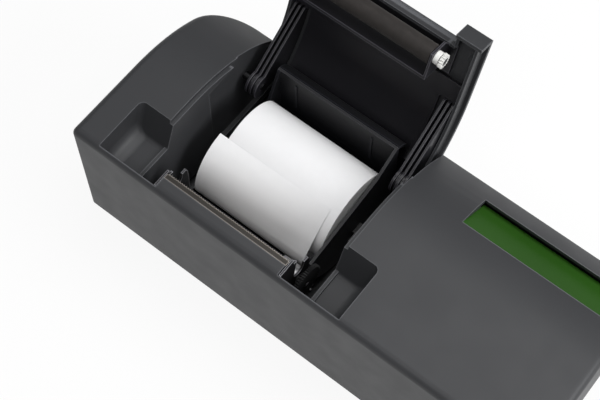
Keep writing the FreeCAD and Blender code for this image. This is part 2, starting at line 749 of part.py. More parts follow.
def mech_frame():
    """Folded steel frame: floor, front wall, two side plates with platen seats, top bridge."""
    floor_top = MECH_FLOOR + SHEET
    plate = side_face([
        (-MECH_FRONT, MECH_FLOOR), (MECH_REAR, MECH_FLOOR), (MECH_REAR, PLATEN_Z),
        (PRONG_REAR, -PLATE_PRONG), (PRONG_FRONT, -PLATE_PRONG),
        (PRONG_FRONT, -PLATE_STEP), (PLATE_HIGH, -PLATE_STEP), (PLATE_HIGH, -PLATE_TOP),
        (-MECH_FRONT, -PLATE_TOP),
    ])
    leg = BLADE_EDGE - BLADE_REACH
    pieces = [
        block(-PLATE_OUT, PLATE_OUT, -MECH_FRONT, MECH_REAR, MECH_FLOOR, floor_top),
        block(-PLATE_OUT, PLATE_OUT, -MECH_FRONT, SHEET - MECH_FRONT, MECH_FLOOR, -HEAT_SINK_TOP),
        block(-PLATE_OUT, PLATE_OUT, leg - SHEET, leg, -BRIDGE_TOP - BRIDGE_DEPTH, -BRIDGE_TOP),
    ]
    pieces += [along_x(plate, *span(side, PLATE_IN, PLATE_OUT)) for side in (-1, 1)]
    seat_dia = BUSH_DIA + 2 * BUSH_SEAT_GAP
    cuts = [rod(-FAR, FAR, PLATEN_Y, PLATEN_Z, seat_dia)]
    for flare in (0, THROAT_FLARE):
        throat = Part.makeBox(FAR, seat_dia, FAR, V(-FAR / 2, -seat_dia / 2, 0))
        throat.rotate(V(0, 0, 0), V(1, 0, 0), -math.degrees(math.atan2(LIFT_Y, LIFT_Z)) - flare)
        throat.translate(V(0, PLATEN_Y, PLATEN_Z))
        cuts.append(throat)
    cuts += [
        rod(-PLATE_OUT - OVER, PLATE_OUT + OVER, HEAD_PIVOT_Y, HEAD_PIVOT_Z, HEAD_PIVOT_DIA + 2 * PIN_RUN),
        rod(PLATE_IN - OVER, PLATE_OUT + OVER, AXLE_Y, AXLE_Z, AXLE_DIA),
        rod(PLATE_IN - OVER, PLATE_OUT + OVER, MOTOR_Y, MOTOR_Z, MOTOR_PILOT_DIA),
    ]
    hole = SMALL_SCREW + SCREW_HOLE_GAP
    cuts += [post(x, y, MECH_FLOOR - OVER, floor_top + OVER, hole) for x, y in frame_holes()]
    return fuse(*pieces).cut(cuts).removeSplitter()


def frame_screws():
    top = MECH_FLOOR + SHEET
    size = (SHEET + SHELF, SMALL_SCREW, SMALL_SCREW_HEAD, SMALL_SCREW_CAP)
    return Part.makeCompound([screw(x, y, top, -1, *size) for x, y in frame_holes()])


def tear_bar():
    """Angle strip: upright leg on the frame's bridge, level blade with a saw edge to the rear."""
    half = PLATE_IN - BAR_END_GAP
    front = BLADE_EDGE - BLADE_REACH
    root = BLADE_EDGE - TOOTH_DEPTH
    count = int(2 * half / TOOTH_PITCH)
    start = -count * TOOTH_PITCH / 2
    outline = [(-half, root), (-half, front), (half, front), (half, root)]
    for k in range(count, 0, -1):
        x = start + k * TOOTH_PITCH
        outline += [(x, root), (x - TOOTH_PITCH / 2, BLADE_EDGE)]
    outline.append((start, root))
    corners = [V(x, y, -BLADE_TOP - BLADE_THICK) for x, y in outline]
    blade = Part.Face(Part.makePolygon(corners + corners[:1])).extrude(V(0, 0, BLADE_THICK))
    leg = block(-half, half, front, front + BLADE_THICK, -BRIDGE_TOP - BRIDGE_DEPTH, -BLADE_TOP)
    return fuse(blade, leg)


def head_heatsink():
    back = block(-HEAD_HALF, HEAD_HALF, HEAD_BACK, HEAD_BACK + HEAT_SINK, HEAD_PIVOT_Z, -HEAT_SINK_TOP)
    knuckle = rod(-HEAD_HALF, HEAD_HALF, HEAD_PIVOT_Y, HEAD_PIVOT_Z, HEAT_SINK)
    sink = fuse(back, knuckle)
    groove = SINK_GROOVE
    cuts = [rod(-FAR, FAR, HEAD_PIVOT_Y, HEAD_PIVOT_Z, HEAD_PIVOT_DIA)]
    for k in range(SINK_GROOVES):
        z = HEAD_PIVOT_Z + HEAT_SINK + (k + 1) * 2 * groove
        cuts.append(block(-FAR, FAR, HEAD_BACK - OVER, HEAD_BACK + groove / 2, z, z + groove))
    for side in (-1, 1):
        x = side * (HEAD_HALF - KNUCKLE_GAP)
        cuts.append(block(x - KNUCKLE_GAP / 2, x + KNUCKLE_GAP / 2, -FAR, FAR,
                          -FAR, HEAD_PIVOT_Z + HEAT_SINK))
    return sink.cut(cuts)


def head_substrate():
    top = PLATEN_Z + SUBSTRATE_HEIGHT / 2
    plate = block(-PLATEN_HALF, PLATEN_HALF, HEAD_FACE - SUBSTRATE_THICK, HEAD_FACE - GLAZE_PROUD,
                  top - SUBSTRATE_HEIGHT, top)
    glaze = rod(-PLATEN_HALF, PLATEN_HALF, HEAD_FACE - SUBSTRATE_THICK / 2, PLATEN_Z, SUBSTRATE_THICK)
    return fuse(plate, glaze)


def head_pivot_shaft():
    return rod(-PLATE_OUT - SHAFT_PROUD, PLATE_OUT + SHAFT_PROUD, HEAD_PIVOT_Y, HEAD_PIVOT_Z, HEAD_PIVOT_DIA)


def head_springs():
    """Two arched leaf springs that press the head towards the platen."""
    wall = SHEET - MECH_FRONT
    crown = HEAD_BACK - SPRING_END_GAP
    rise = crown - wall - SPRING_END_GAP - SPRING_LEAF
    radius = (SPRING_HALF ** 2 + rise ** 2) / (2 * rise)
    reach = math.degrees(math.asin(SPRING_HALF / radius))
    outer = radius + SPRING_LEAF
    arch = arc_band(crown - outer, SPRING_Z, radius, outer, -reach, reach)
    places = [span(side, SPRING_SPREAD, SPRING_SPREAD + SPRING_WIDTH) for side in (-1, 1)]
    return Part.makeCompound([along_x(arch, x0, x1) for x0, x1 in places])


def gear_solid(teeth, x0, x1, y, z, phase):
    """Spur gear across x0 to x1; each tooth has a root, pitch and tip point on both flanks."""
    pitch = MODULE * teeth / 2
    step = 2 * math.pi / teeth
    ring = [
        (pitch - MODULE * GEAR_ROOT, ROOT_SHARE),
        (pitch, PITCH_SHARE),
        (pitch + MODULE * GEAR_TIP, TIP_SHARE),
    ]
    points = []
    for k in range(teeth):
        middle = math.radians(phase) + k * step
        points += [(r, middle - share * step / 2) for r, share in ring]
        points += [(r, middle + share * step / 2) for r, share in reversed(ring)]
    corners = [(y + r * math.cos(a), z + r * math.sin(a)) for r, a in points]
    return along_x(side_face(corners), x0, x1)


def drive_angle():
    """Direction from the reduction gear to the shut platen gear, in degrees."""
    return math.degrees(math.atan2(PLATEN_Z - AXLE_Z, PLATEN_Y - AXLE_Y))


def platen_gear():
    gap_phase = drive_angle() + 180 + 180 / PLATEN_TEETH
    gear = gear_solid(PLATEN_TEETH, GEAR_IN, GEAR_OUT, PLATEN_Y, PLATEN_Z, gap_phase)
    return gear.cut(rod(-FAR, FAR, PLATEN_Y, PLATEN_Z, PLATEN_SHAFT_DIA))


def reduction_gear():
    small = gear_solid(SMALL_TEETH, GEAR_IN, LARGE_IN, AXLE_Y, AXLE_Z, drive_angle())
    large = gear_solid(LARGE_TEETH, LARGE_IN, LARGE_OUT, AXLE_Y, AXLE_Z, MOTOR_ANGLE)
    hub = rod(PLATE_OUT + GEAR_GAP, GEAR_IN, AXLE_Y, AXLE_Z, AXLE_DIA + 2 * HUB_WALL)
    bore = rod(-FAR, FAR, AXLE_Y, AXLE_Z, AXLE_DIA + 2 * PIN_RUN)
    return fuse(small, large, hub).cut(bore)


def gear_axle():
    axle = rod(PLATE_IN, LARGE_OUT + 2 * GEAR_GAP, AXLE_Y, AXLE_Z, AXLE_DIA)
    clip = rod(LARGE_OUT + GEAR_GAP, LARGE_OUT + 2 * GEAR_GAP, AXLE_Y, AXLE_Z, AXLE_DIA + 2 * HUB_WALL)
    return fuse(axle, clip)


def motor_pinion():
    phase = MOTOR_ANGLE + 180 + 180 / PINION_TEETH
    gear = gear_solid(PINION_TEETH, LARGE_IN, LARGE_OUT, MOTOR_Y, MOTOR_Z, phase)
    return gear.cut(rod(-FAR, FAR, MOTOR_Y, MOTOR_Z, MOTOR_SHAFT_DIA))


def motor_shaft():
    return rod(PLATE_IN - MOTOR_LENGTH + MOTOR_END, LARGE_OUT + GEAR_GAP, MOTOR_Y, MOTOR_Z, MOTOR_SHAFT_DIA)


def stepper_motor():
    body = rod(PLATE_IN - MOTOR_LENGTH, PLATE_IN, MOTOR_Y, MOTOR_Z, MOTOR_DIA)
    pilot = rod(PLATE_IN - EPS, PLATE_OUT, MOTOR_Y, MOTOR_Z, MOTOR_PILOT_DIA)
    flange = block(PLATE_IN - FLANGE, PLATE_IN, MOTOR_Y - FLANGE_REACH, MOTOR_Y + FLANGE_REACH,
                   MOTOR_Z - FLANGE_HALF, MOTOR_Z + FLANGE_HALF)
    room = rod(PLATE_IN - MOTOR_LENGTH + MOTOR_END - GEAR_GAP, PLATE_OUT + OVER, MOTOR_Y, MOTOR_Z,
               MOTOR_SHAFT_DIA + 2 * PIN_RUN)
    return fuse(body, pilot, flange).cut(room)


def paper_roll():
    half = PAPER_HALF
    return rod(-half, half, ROLL_Y, ROLL_Z, ROLL_DIA).cut(rod(-FAR, FAR, ROLL_Y, ROLL_Z, CORE_DIA))


def paper_core():
    half = PAPER_HALF
    return rod(-half, half, ROLL_Y, ROLL_Z, CORE_DIA).cut(rod(-FAR, FAR, ROLL_Y, ROLL_Z, CORE_BORE))


def paper_tail():
    """Loose outer turn: it lies on the roll's top, stands off its front and runs back under it."""
    near = ROLL_DIA / 2 + TAIL_GAP
    stages = [
        (TAIL_START, near),
        ((TAIL_START + TAIL_LEAVES) / 2, near),
        (TAIL_LEAVES, near + TAIL_BULGE / 4),
        ((TAIL_LEAVES + 180) / 2, near + TAIL_BULGE * 2 / 3),
        (180, near + TAIL_BULGE),
        ((180 + TAIL_RETURNS) / 2, near + TAIL_BULGE / 2),
        (TAIL_RETURNS, near),
    ]
    inner = [polar(ROLL_Y, ROLL_Z, radius, angle) for angle, radius in stages]
    outer = [polar(ROLL_Y, ROLL_Z, radius + TAIL_THICK, angle) for angle, radius in stages]
    edges = [line(inner[0], outer[0]), line(inner[-1], outer[-1])]
    for row in (inner, outer):
        edges += [Part.Arc(*row[k:k + 3]).toShape() for k in range(0, len(row) - 2, 2)]
    sheet = Part.Face(Part.Wire(Part.__sortEdges__(edges)))
    return along_x(sheet, -PAPER_HALF - TAIL_SHIFT, PAPER_HALF - TAIL_SHIFT)


def lid_shell():
    rear = LID_REAR
    pieces = [deck_band(-LID_HALF, LID_HALF, -LID_FRONT, rear, 0, LID_SKIN).cut(
        block(-LID_NOTCH_HALF, LID_NOTCH_HALF, -FAR, LID_NOSE, -FAR, FAR)
    )]
    nose_rear = LID_NOSE + SKIRT_THICK
    pieces.append(block(-LID_NOTCH_HALF, LID_NOTCH_HALF, LID_NOSE, nose_rear, -NOSE_DEPTH, -EPS))
    for side in (-1, 1):
        x0, x1 = span(side, SKIRT_IN, SKIRT_OUT)
        pieces.append(deck_band(x0, x1, -LID_FRONT, SKIRT_REAR, EPS, SKIRT_DEPTH))
        x0, x1 = span(side, LID_NOTCH_HALF, LID_HALF)
        pieces.append(block(x0, x1, -LID_FRONT, LID_SKIN - LID_FRONT, -BLOCK_DEPTH, -EPS))
        x0, x1 = span(side, LID_NOTCH_HALF, LID_NOTCH_HALF + SKIRT_THICK)
        pieces.append(block(x0, x1, -LID_FRONT, nose_rear, -RETURN_DEPTH, -EPS))
    shell = fuse(*pieces)
    front = [
        e for e in shell.Edges
        if abs(e.CenterOfMass.z) < EPS and abs(e.CenterOfMass.y + LID_FRONT) < EPS
    ]
    shell = shell.makeFillet(LID_EDGE_ROUND, front)
    pilots = [post(x, y, -LID_SKIN - OVER, -LID_SKIN + HOLDER_BITE, SMALL_SCREW) for x, y in holder_holes()]
    return shell.cut(pilots)


def lid_liner():
    """Inner panel of the lid, wider ahead of the hinge arms, with two ribs that carry it on the skin."""
    low = LINER_DEPTH + LINER_THICK
    panel = deck_band(-LINER_HALF, LINER_HALF, LINER_FRONT, LINER_REAR, LINER_DEPTH, low)
    wide = SKIRT_IN - LINER_GAP
    wings = deck_band(-wide, wide, LINER_FRONT, ARM_TIP - LINER_GAP, LINER_DEPTH, low)
    ribs = []
    for side in (-1, 1):
        x0, x1 = span(side, LINER_RIB_X, LINER_RIB_X + LINER_THICK)
        ribs.append(deck_band(x0, x1, LINER_FRONT, LINER_REAR, LID_SKIN, LINER_DEPTH + EPS))
    return fuse(panel, wings, *ribs)


def holder_holes():
    return [(x, HOLDER_SCREW_Y) for x in (-HOLDER_SCREW_X, 0, HOLDER_SCREW_X)]


def platen_holder():
    """Platen carrier under the lid: plate, screen wall behind the roller, two bearing tabs."""
    low = -LID_SKIN - HOLDER_PLATE
    wall_rear = HOLDER_WALL_Y + HOLDER_WALL
    pieces = [
        block(-LINER_HALF, LINER_HALF, HOLDER_FRONT, HOLDER_REAR, low, -LID_SKIN),
        block(-TAB_OUT, TAB_OUT, HOLDER_WALL_Y, wall_rear, -HOLDER_DEPTH, low + EPS),
    ]
    tab = side_face([
        (TAB_FRONT, -HOLDER_DEPTH), (wall_rear, -HOLDER_DEPTH), (wall_rear, low + EPS),
        (HOLDER_FRONT, low + EPS), (HOLDER_FRONT, -TAB_SHOULDER), (TAB_FRONT, PLATEN_Z + TAB_SHOULDER),
    ])
    pieces += [along_x(tab, *span(side, TAB_IN, TAB_OUT)) for side in (-1, 1)]
    cuts = [rod(-FAR, FAR, PLATEN_Y, PLATEN_Z, PLATEN_SHAFT_DIA + 2 * PIN_RUN)]
    cuts += [post(x, y, low - OVER, 0, SMALL_SCREW + SCREW_HOLE_GAP) for x, y in holder_holes()]
    return fuse(*pieces).cut(cuts)


def lid_screws():
    size = (HOLDER_PLATE + HOLDER_BITE, SMALL_SCREW, SMALL_SCREW_HEAD, SMALL_SCREW_CAP)
    return Part.makeCompound([screw(x, y, -LID_SKIN - HOLDER_PLATE, 1, *size) for x, y in holder_holes()])


def hinge_arm(side):
    """Three parallel ribs from the lid's skin down to a barrel on the hinge pin."""
    web = side_face([
        (ARM_TIP, OVER), (LID_REAR - PIN_PROUD, OVER), (LID_REAR - PIN_PROUD, HINGE_Z),
        (HINGE_Y, HINGE_Z - HUB_RADIUS), (HINGE_Y - HUB_RADIUS, HINGE_Z),
        (ARM_TIP, -LID_SKIN - ARM_TIP_DEPTH),
    ])
    roof = under_deck(LID_SKIN, ARM_TIP - OVER, LID_REAR + OVER, -FAR)
    pieces = []
    for k in range(ARM_RIBS):
        inner = ARM_INNER + k * ARM_PITCH
        x0, x1 = span(side, inner, inner + ARM_RIB)
        end = rod(x0, x1, HINGE_Y, HINGE_Z, 2 * HUB_RADIUS)
        pieces.append(fuse(along_x(web.common(roof), x0, x1), end))
    outer = ARM_INNER + (ARM_RIBS - 1) * ARM_PITCH + ARM_RIB
    pieces.append(rod(*span(side, ARM_INNER, outer), HINGE_Y, HINGE_Z, 2 * BARREL_RADIUS))
    return fuse(*pieces).cut(rod(-FAR, FAR, HINGE_Y, HINGE_Z, PIN_DIA + 2 * PIN_RUN))


def platen_shaft():
    return rod(-BUSH_OUT - SHAFT_PROUD, GEAR_OUT, PLATEN_Y, PLATEN_Z, PLATEN_SHAFT_DIA)


def platen_roller():
    roller = rod(-PLATEN_HALF, PLATEN_HALF, PLATEN_Y, PLATEN_Z, PLATEN_DIA)
    return roller.cut(rod(-FAR, FAR, PLATEN_Y, PLATEN_Z, PLATEN_SHAFT_DIA))


def platen_bushings():
    bushes = []
    for side in (-1, 1):
        bush = rod(*span(side, BUSH_IN, BUSH_OUT), PLATEN_Y, PLATEN_Z, BUSH_DIA)
        bushes.append(bush.cut(rod(-FAR, FAR, PLATEN_Y, PLATEN_Z, PLATEN_SHAFT_DIA + 2 * PIN_RUN)))
    return Part.makeCompound(bushes)


def display_lens():
    return lens_slab(0, LENS_THICK, 0, DISPLAY_X, DISPLAY_X + DISPLAY_LENGTH)


def display_module():
    drop = LENS_THICK + TRAY_WALL
    return lens_slab(drop, MODULE_THICK, LENS_MARGIN / 2, DISPLAY_X, DISPLAY_X + DISPLAY_LENGTH)


def board_holes():
    xs = (BOARD_X + BOARD_HOLE, BOARD_X + BOARD_LENGTH - BOARD_HOLE)
    ys = (BOARD_Y + BOARD_HOLE, BOARD_Y + BOARD_DEEP - BOARD_HOLE)
    return [(x, y) for x in xs for y in ys]


def main_board():
    """Printed board with its processor, capacitors and cable headers."""
    top = BOARD_Z + BOARD_THICK
    middle_x = BOARD_X + BOARD_LENGTH / 2
    middle_y = BOARD_Y + BOARD_DEEP / 2
    pieces = [block(BOARD_X, BOARD_X + BOARD_LENGTH, BOARD_Y, BOARD_Y + BOARD_DEEP, BOARD_Z, top)]
    pieces.append(block(middle_x - CHIP, middle_x + CHIP, middle_y - CHIP, middle_y + CHIP,
                        top - EPS, top + CHIP_HIGH))
    for k in range(HEADERS):
        y = BOARD_Y + (k + 1) * BOARD_DEEP / (HEADERS + 1)
        pieces.append(block(BOARD_X + HEADER, BOARD_X + 2 * HEADER, y - HEADER, y + HEADER,
                            top - EPS, top + HEADER))
        pieces.append(post(BOARD_X + BOARD_LENGTH - 4 * HEADER, y, top - EPS, top + CAN_HIGH, CAN_DIA))
    holes = [post(x, y, BOARD_Z - OVER, top + OVER, SCREW_DIA + SCREW_HOLE_GAP) for x, y in board_holes()]
    return fuse(*pieces).cut(holes)


def board_screws():
    size = (BOARD_THICK + BOARD_STANDOFF, SCREW_DIA, SCREW_HEAD_DIA, SCREW_HEAD)
    return Part.makeCompound([screw(x, y, BOARD_Z + BOARD_THICK, -1, *size) for x, y in board_holes()])


def power_socket():
    """Round low-voltage socket: flanged body behind the rear wall, bore with a centre pin."""
    inner = REAR_REACH - WALL
    body = block(POWER_X - SOCKET_HALF, POWER_X + SOCKET_HALF, inner - SOCKET_DEEP, inner,
                 SOCKET_Z - SOCKET_HALF, SOCKET_Z + SOCKET_HALF)
    floor = inner - SOCKET_DEEP + SOCKET_FLOOR
    rear = V(0, 1, 0)
    collar = Part.makeCylinder(POWER_HOLE / 2, WALL + EPS, V(POWER_X, inner - EPS, SOCKET_Z), rear)
    bore = Part.makeCylinder(POWER_BORE / 2, REAR_REACH + OVER - floor, V(POWER_X, floor, SOCKET_Z), rear)
    pin = Part.makeCylinder(POWER_PIN / 2, inner - floor + EPS, V(POWER_X, floor - EPS, SOCKET_Z), rear)
    return fuse(fuse(body, collar).cut(bore), pin)


def data_socket():
    """Square data socket, open to the rear, with a contact tongue."""
    inner = REAR_REACH - WALL
    half = DATA_HALF
    body = block(DATA_X - half, DATA_X + half, inner - SOCKET_DEEP, REAR_REACH,
                 SOCKET_Z - half, SOCKET_Z + half)
    floor = inner - SOCKET_DEEP + SOCKET_FLOOR
    room = block(DATA_X - half + DATA_WALL, DATA_X + half - DATA_WALL, floor, REAR_REACH + OVER,
                 SOCKET_Z - half + DATA_WALL, SOCKET_Z + half - DATA_WALL)
    tongue = block(DATA_X - half / 2, DATA_X + half / 2, floor - EPS, inner,
                   SOCKET_Z, SOCKET_Z + TONGUE_THICK)
    return fuse(body.cut(room), tongue)


def paper_sensor():
    """Near-end sensor on the outside of the bucket's right cheek, level with the roll's core."""
    x = BUCKET_RIGHT + BUCKET_WALL
    z = ROLL_Z - SENSOR_DROP
    return block(x, x + SENSOR, ROLL_Y - SENSOR, ROLL_Y + SENSOR, z - SENSOR, z + SENSOR)


def cover_switch():
    """Switch on the well's right wall that the lid's skirt passes when it shuts."""
    wall = WELL_HALF
    body = block(wall - SWITCH_THICK, wall, SWITCH_Y, SWITCH_Y + SWITCH_LONG,
                 SWITCH_Z - SWITCH_HIGH, SWITCH_Z)
    middle_x = wall - SWITCH_THICK / 2
    middle_y = SWITCH_Y + SWITCH_LONG / 2
    key = block(middle_x - KEY_THICK / 2, middle_x + KEY_THICK / 2,
                middle_y - KEY_LONG / 2, middle_y + KEY_LONG / 2, SWITCH_Z - EPS, SWITCH_Z + KEY_PROUD)
    return fuse(body, key)


# Piece name, its maker, and whether it swings with the lid
PIECES = [
    (top_housing, False), (base_plate, False), (rubber_feet, False), (housing_screws, False),
    (hinge_pins, False), (paper_bucket, False), (mech_frame, False), (frame_screws, False),
    (tear_bar, False), (head_springs, False), (head_heatsink, False), (head_substrate, False),
    (head_pivot_shaft, False), (stepper_motor, False), (motor_shaft, False), (motor_pinion, False),
    (gear_axle, False), (reduction_gear, False), (paper_roll, False), (paper_core, False),
    (paper_tail, False), (display_lens, False), (display_module, False), (main_board, False),
    (board_screws, False), (power_socket, False), (data_socket, False), (paper_sensor, False),
    (cover_switch, False), (lid_shell, True), (lid_liner, True), (platen_holder, True),
    (lid_screws, True), (platen_shaft, True), (platen_roller, True), (platen_gear, True),
    (platen_bushings, True),
]


def finished(shape, swings):
    """Shape in the part's own frame, with the lid's pieces swung open."""
    placed = shape.copy()
    if swings:
        placed.rotate(V(0, HINGE_Y, HINGE_Z), V(1, 0, 0), -LID_OPEN)
    placed.translate(ORIGIN_MOVE)
    return placed


def build():
    shapes = {maker.__name__: finished(maker(), swings) for maker, swings in PIECES}
    shapes["hinge_arm_left"] = finished(hinge_arm(-1), True)
    shapes["hinge_arm_right"] = finished(hinge_arm(1), True)
    return shapes


def axes():
    """A point on each joint's axis in the part's frame, all of them along X."""
    platen = V(0, PLATEN_Y, PLATEN_Z)
    turn = FreeCAD.Rotation(V(1, 0, 0), -LID_OPEN)
    hinge = V(0, HINGE_Y, HINGE_Z)
    points = {
        "lid_hinge": hinge,
        "platen_spin": hinge + turn.multVec(platen - hinge),
        "roll_spin": V(0, ROLL_Y, ROLL_Z),
        "gear_spin": V(LARGE_IN, AXLE_Y, AXLE_Z),
        "motor_spin": V(LARGE_IN, MOTOR_Y, MOTOR_Z),
        "head_pivot": V(0, HEAD_PIVOT_Y, HEAD_PIVOT_Z),
    }
    return {name: point + ORIGIN_MOVE for name, point in points.items()}


os.makedirs("parts", exist_ok=True)
for name, shape in build().items():
    print(name, shape.isValid(), len(shape.Solids), round(shape.Volume, 1))
    shape.exportStep("parts/" + name + ".step")
for name, point in axes().items():
    print("axis", name, round(point.x, 3), round(point.y, 3), round(point.z, 3))
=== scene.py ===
"""Looks of the receipt printer: edges, finishes, the paper's own forms, light and camera."""

import json
import math

import bmesh
import bpy
from mathutils import Matrix, Vector


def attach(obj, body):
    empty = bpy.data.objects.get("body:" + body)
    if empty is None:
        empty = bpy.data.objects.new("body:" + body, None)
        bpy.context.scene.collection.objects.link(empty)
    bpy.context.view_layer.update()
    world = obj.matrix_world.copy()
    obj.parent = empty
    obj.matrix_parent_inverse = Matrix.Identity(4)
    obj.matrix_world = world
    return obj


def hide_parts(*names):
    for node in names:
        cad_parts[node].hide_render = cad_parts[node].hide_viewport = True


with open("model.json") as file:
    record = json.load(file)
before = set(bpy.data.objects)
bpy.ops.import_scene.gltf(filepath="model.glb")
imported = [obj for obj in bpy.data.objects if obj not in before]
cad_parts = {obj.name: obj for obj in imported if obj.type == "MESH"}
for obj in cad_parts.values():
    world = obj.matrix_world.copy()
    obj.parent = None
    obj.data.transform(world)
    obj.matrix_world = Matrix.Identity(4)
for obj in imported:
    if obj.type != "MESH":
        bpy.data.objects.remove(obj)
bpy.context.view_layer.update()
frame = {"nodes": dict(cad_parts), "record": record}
RECORD = frame["record"]
BODY_OF = {node: body for body, nodes in RECORD["behaviour"]["bodies"].items() for node in nodes}
AXIS_AT = {joint["name"]: Vector(joint["pos_m"]) for joint in RECORD["behaviour"]["joints"]}
MM = 0.001

# Camera, from the photograph's straight edges
CAMERA_AIM = Vector((-26.2, -38.28, 94.0)) * MM
CAMERA_AZIMUTH = math.radians(37.47)
CAMERA_ELEVATION = math.radians(64.29)
CAMERA_ROLL = math.radians(0.565)
CAMERA_DISTANCE = 760.4 * MM
CAMERA_LENS = 84.0
SENSOR_WIDTH = 36.0
CLIP_START = 10.0 * MM

# Light, in metres and watts; soft boxes: name, place, width, height, power
AMBIENT = 0.18
LIGHT_AIM = Vector((-0.03, 0.0, 0.08))
SOFT_BOXES = [
    ("overhead", (0.15, 0.35, 1.3), 1.1, 0.9, 10.5),
    ("right_window", (1.1, 0.25, 0.7), 0.7, 0.7, 12.0),
    ("front_high", (0.1, -0.75, 1.2), 1.0, 0.7, 5.8),
]
FLOOR_REACH = 4.0
FLOOR_COLOR = (0.86, 0.86, 0.86)
FLOOR_GLOW = 0.9

# Paper: the roll's end faces have bands of turns that shift against each other
PAPER_WIDTH = 80.0 * MM
ROLL_RADIUS = 30.0 * MM
ROLL_RIM = 0.25 * MM
ROLL_STEPS = 144
BAND_COUNT = 12
BAND_SHIFT = 0.12 * MM
BAND_WANDER = 2.1
CORE_RADIUS = 8.5 * MM
CORE_BORE = 6.25 * MM
CORE_RIM = 0.2 * MM
CORE_STEPS = 72

# Loose outer turn: angle about the roll in degrees, and how many millimetres its left and right edges
# stand from the axis
TAIL_STAGES = [
    (118, 30.9, 31.2), (124, 32.1, 31.1), (131, 33.6, 31.1), (143, 35.7, 31.4), (152, 37.0, 32.1),
    (165, 38.7, 34.2), (172, 39.6, 36.2), (178, 40.3, 38.5), (186, 40.9, 40.4), (195, 39.3, 39.2),
    (210, 35.7, 35.6), (220, 33.5, 33.4), (232, 30.8, 30.8),
]
TAIL_THICK = 0.12 * MM
TAIL_SHIFT = 5.5 * MM
TAIL_ACROSS = 16
TAIL_PARTS = 6

# Deck frame: millimetres from the middle of the well's front edge, on the deck; the lid is drawn shut in it
HINGE_IN_DECK = Vector((0.0, 91.0, -36.3))
LID_OPEN = math.radians(106)
AT_HINGE = Matrix.Translation(AXIS_AT["lid_hinge"])
FROM_HINGE = Matrix.Scale(MM, 4) @ Matrix.Translation(-HINGE_IN_DECK)
DECK_PLACE = AT_HINGE @ FROM_HINGE
LID_PLACE = AT_HINGE @ Matrix.Rotation(-LID_OPEN, 4, "X") @ FROM_HINGE

# Display window, in the deck frame: depth and height of the lens at its front edge and, sunk, at its rear
WINDOW_LEFT = 100.8
WINDOW_RIGHT = 194.8
LENS_FRONT = (78.5, -6.31)
LENS_REAR = (103.3, -25.7)
LENS_THICK = 2.0

# Lid's front lip between its corner blocks, lid shut
LIP_HALF = 45.0
LIP_FRONT = 5.8
LIP_THICK = 1.8
LIP_DEPTH = 7.5
LIP_TOP = -1.1

# Rear screen of the paper bucket: its left end, the solid's left end, and the gusset that stays it
SCREEN_LEFT = 43.3
SOLID_SCREEN_LEFT = 48.3
SCREEN_CUT_FRONT = 72.5
SCREEN_Y = 98.0
SCREEN_TOP = -19.5
GUSSET_THICK = 1.8
GUSSET_FRONT = 80.0
GUSSET_LOW = -57.9

# How far a trim runs on past what it takes away, in millimetres
OVER = 15.0

# Meshes: weld and flatten limits, sharp edges and their rounding
WELD_REACH = 0.005 * MM
FLAT_ANGLE = math.radians(0.5)
EDGE_ANGLE = math.radians(32)
EDGE_SEGMENTS = 2

# Noise lies mostly between these values, which are spread to the full range
NOISE_LOW = 0.3
NOISE_HIGH = 0.7

# Painted edge highlight: reach into the wall, openness where the paler line starts and is full, its
# strength
EDGE_HIGHLIGHT_REACH = 0.7 * MM
EDGE_HIGHLIGHT_START = 0.92
EDGE_HIGHLIGHT_FULL = 0.55
EDGE_HIGHLIGHT_STRENGTH = 0.8
EDGE_HIGHLIGHT_SAMPLES = 6


# Shader helpers

def new_material(name, color, roughness, metallic=0.0, specular=0.5):
    """Principled material and its node tree; the constant values sit on the shader's own sockets."""
    material = bpy.data.materials.new(name)
    material.use_nodes = True
    shader = shader_of(material)
    shader.inputs["Base Color"].default_value = (*color, 1.0)
    shader.inputs["Roughness"].default_value = roughness
    shader.inputs["Metallic"].default_value = metallic
    shader.inputs["Specular IOR Level"].default_value = specular
    return material


def shader_of(material):
    return material.node_tree.nodes["Principled BSDF"]


def add(material, kind, **values):
    """New node in a material, with input sockets set by name."""
    node = material.node_tree.nodes.new(kind)
    for name, value in values.items():
        node.inputs[name.replace("_", " ")].default_value = value
    return node


def join(material, source, target):
    material.node_tree.links.new(source, target)


def surface_point(material):
    return add(material, "ShaderNodeTexCoord").outputs["Object"]


def noise(material, scale, detail=2.0, stretch=(1.0, 1.0, 1.0)):
    """Noise over the object's own coordinates; stretch above 1 crowds it along that axis."""
    mapping = add(material, "ShaderNodeMapping", Scale=stretch)
    join(material, surface_point(material), mapping.inputs["Vector"])
    texture = add(material, "ShaderNodeTexNoise", Scale=scale, Detail=detail)
    join(material, mapping.outputs["Vector"], texture.inputs["Vector"])
    return texture.outputs["Fac"]


def vary_roughness(material, source, low, high):
    """Feed a noise into the roughness, as low to high."""
    spread = add(
        material, "ShaderNodeMapRange", From_Min=NOISE_LOW, From_Max=NOISE_HIGH, To_Min=low, To_Max=high)
    join(material, source, spread.inputs["Value"])
    join(material, spread.outputs["Result"], shader_of(material).inputs["Roughness"])


def tint(material, source, dark, light):
    """Feed a noise into the base colour, between two colours."""
    ramp = add(material, "ShaderNodeValToRGB")
    stops = [(NOISE_LOW, dark), (NOISE_HIGH, light)]
    for stop, (position, color) in zip(ramp.color_ramp.elements, stops):
        stop.position = position
        stop.color = (*color, 1.0)
    join(material, source, ramp.inputs["Fac"])
    join(material, ramp.outputs["Color"], shader_of(material).inputs["Base Color"])


def bump(material, source, height, strength):
    """Surface relief of the given height in metres."""
    relief = add(material, "ShaderNodeBump", Strength=strength, Distance=height)
    join(material, source, relief.inputs["Height"])
    join(material, relief.outputs["Normal"], shader_of(material).inputs["Normal"])


